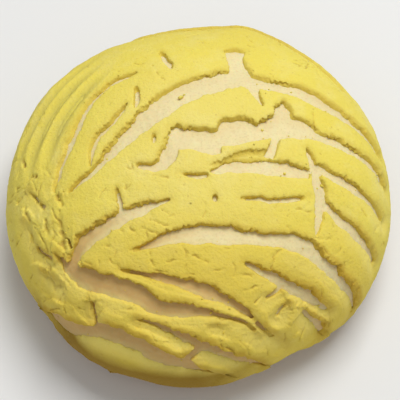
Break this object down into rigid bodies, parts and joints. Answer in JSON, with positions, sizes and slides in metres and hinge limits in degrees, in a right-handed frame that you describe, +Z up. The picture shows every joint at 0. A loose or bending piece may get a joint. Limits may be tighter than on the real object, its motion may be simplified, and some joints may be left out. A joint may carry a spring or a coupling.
{
  "type": "concha sweet bread",
  "caption": "Round domed sweet bun under a cracked sheet of yellow sugar paste scored in curved bands like a shell; a single-serving pastry to set on a plate or in a basket",
  "frame": {"origin": "middle of the bounding box at the flat base the bun rests on", "axes": "+Z up through the crown; the side seen in the picture faces -Y; +X to the right in the picture"},
  "size_m": [0.1148, 0.1158, 0.052],
  "materials": {
    "bread": "matte baked dough",
    "paste": "matte dry sugar paste"
  },
  "bodies": {
    "root": {"bun": "bread", "topping": "paste"}
  },
  "joints": []
}
